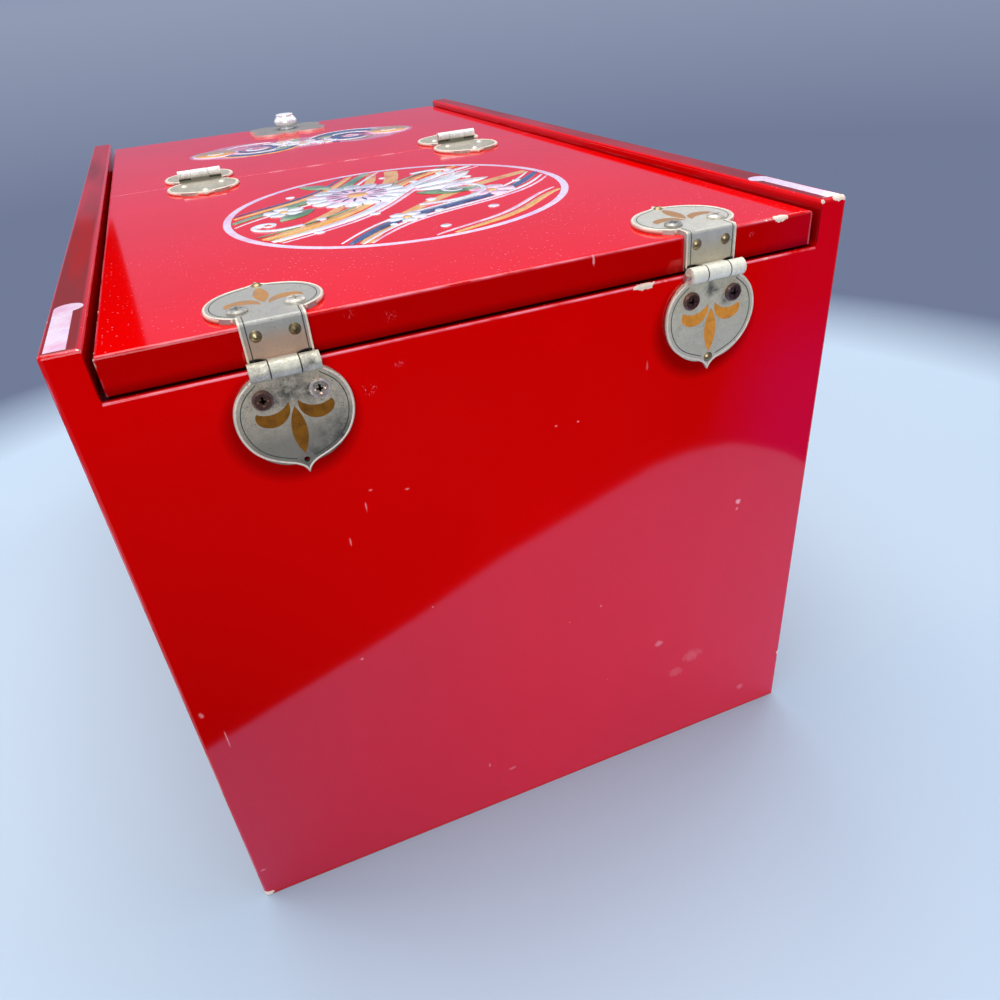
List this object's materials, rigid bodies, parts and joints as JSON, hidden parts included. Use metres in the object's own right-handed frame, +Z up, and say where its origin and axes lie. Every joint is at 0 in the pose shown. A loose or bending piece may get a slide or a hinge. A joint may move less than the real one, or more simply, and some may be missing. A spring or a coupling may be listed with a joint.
{
  "type": "lacquer jewelry box",
  "caption": "Red lacquered wooden jewelry box with a folding two-leaf lid on heart-shaped hinges, shell inlay, a mirror, a sliding tray and a drawer.",
  "frame": {"origin": "centre of the case's flat underside, on the floor", "axes": "+X to the right seen from the drawer side, +Y to the hinged back, +Z up"},
  "size_m": [0.18, 0.3144, 0.175],
  "materials": {
    "red_lacquer": "glossy red lacquer on wood",
    "mirror_frame_lacquer": "dark red lacquer",
    "drawer_wood": "plain pale wood",
    "lining_velvet": "wine velvet over card",
    "tray_velvet": "wine velvet over thin wood",
    "ring_roll_velvet": "wine velvet over foam",
    "shell": "polished mother-of-pearl",
    "nickel_plate": "worn nickel plate",
    "pin_steel": "drawn wire",
    "bronze_screw": "dull bronze",
    "brass_nail": "dark brass",
    "amber_enamel": "amber enamel",
    "bright_knob": "bright nickel",
    "mirror_glass": "silvered glass"
  },
  "bodies": {
    "root": {"right_side_panel": "red_lacquer", "left_side_panel": "red_lacquer", "right_edge_inlay": "shell", "left_edge_inlay": "shell", "back_panel": "red_lacquer", "bottom_panel": "red_lacquer", "shelf_panel": "red_lacquer", "front_rail": "red_lacquer", "lining_floor": "lining_velvet", "lining_front": "lining_velvet", "lining_back": "lining_velvet", "lining_right": "lining_velvet", "lining_left": "lining_velvet", "tray_ledges": "lining_velvet", "right_hinge_lower_leaf": "nickel_plate", "left_hinge_lower_leaf": "nickel_plate", "hinge_pins": "pin_steel", "lower_leaf_screws": "bronze_screw", "lower_leaf_petals": "amber_enamel", "lower_leaf_nail": "brass_nail"},
    "tray": {"tray_floor": "tray_velvet", "tray_front_wall": "tray_velvet", "tray_back_wall": "tray_velvet", "tray_right_wall": "tray_velvet", "tray_left_wall": "tray_velvet", "tray_cross_divider": "tray_velvet", "tray_long_dividers": "tray_velvet", "ring_rolls": "ring_roll_velvet"},
    "rear_leaf": {"rear_leaf_panel": "red_lacquer", "medallion_ring": "shell", "medallion_streams": "shell", "right_hinge_upper_leaf": "nickel_plate", "left_hinge_upper_leaf": "nickel_plate", "upper_leaf_screws": "bronze_screw", "upper_leaf_petals": "amber_enamel", "upper_leaf_nails": "brass_nail", "mirror_frame": "mirror_frame_lacquer", "mirror_glass": "mirror_glass", "right_seam_hinge_rear_leaf": "nickel_plate", "left_seam_hinge_rear_leaf": "nickel_plate", "seam_hinge_pins": "pin_steel", "seam_rear_nails": "brass_nail"},
    "front_leaf": {"front_leaf_panel": "red_lacquer", "front_cloud_inlay": "shell", "front_leaf_lining": "lining_velvet", "right_seam_hinge_front_leaf": "nickel_plate", "left_seam_hinge_front_leaf": "nickel_plate", "seam_front_nails": "brass_nail", "lid_knob_plate": "nickel_plate", "lid_knob": "bright_knob", "lid_knob_nut": "pin_steel"},
    "drawer": {"drawer_front": "red_lacquer", "drawer_right_side": "drawer_wood", "drawer_left_side": "drawer_wood", "drawer_back": "drawer_wood", "drawer_floor": "drawer_wood", "drawer_lining": "lining_velvet", "drawer_knob_plate": "nickel_plate", "drawer_knob": "bright_knob", "drawer_knob_nut": "pin_steel"}
  },
  "joints": [
    {"name": "lid_hinge", "type": "hinge", "parent": "root", "child": "rear_leaf", "pos_m": [0, 0.1534, 0.1591], "axis": [-1, 0, 0], "range_deg": [0, 110]},
    {"name": "lid_fold", "type": "hinge", "parent": "rear_leaf", "child": "front_leaf", "pos_m": [0, -0.0188, 0.1708], "axis": [-1, 0, 0], "range_deg": [0, 178]},
    {"name": "drawer_slide", "type": "slide", "parent": "root", "child": "drawer", "axis": [0, -1, 0], "range_m": [0, 0.2]},
    {"name": "tray_slide", "type": "slide", "parent": "root", "child": "tray", "axis": [0, -1, 0], "range_m": [0, 0.14]}
  ]
}
